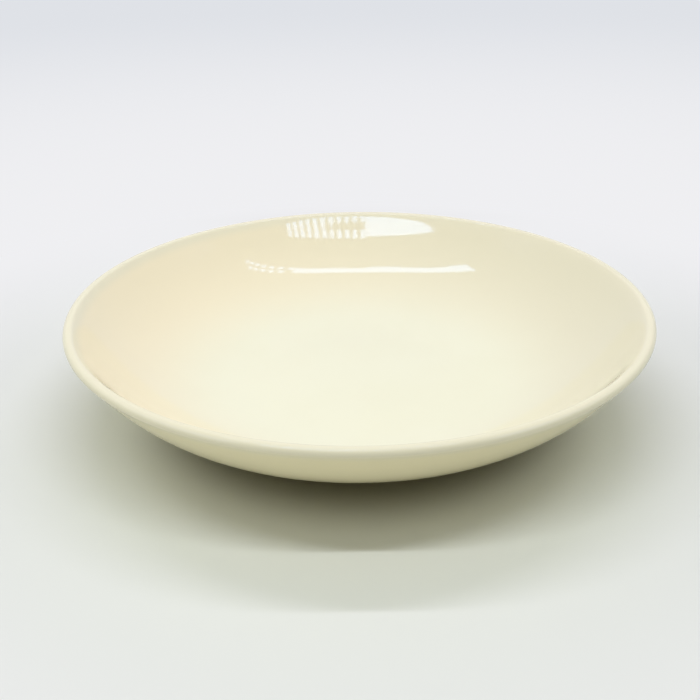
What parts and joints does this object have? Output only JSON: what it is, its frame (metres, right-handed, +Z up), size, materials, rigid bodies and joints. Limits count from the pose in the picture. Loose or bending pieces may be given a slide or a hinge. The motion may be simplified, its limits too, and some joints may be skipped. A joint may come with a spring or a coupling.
{
  "type": "small plate",
  "caption": "Small round coupe plate: a shallow well that curves up to a rounded lip, glazed over fired clay, standing on a low unglazed foot ring.",
  "frame": {"origin": "centre of the foot ring's tread, on the surface that the plate stands on", "axes": "+Z up along the plate's axis of revolution, out of the well; X and Y are alike"},
  "size_m": [0.16, 0.16, 0.03],
  "materials": {
    "clay": "matte, fired and unglazed",
    "glaze": "glossy ivory glaze"
  },
  "bodies": {
    "root": {"clay_body": "clay", "glaze_coat": "glaze", "base_glaze": "glaze"}
  },
  "joints": []
}
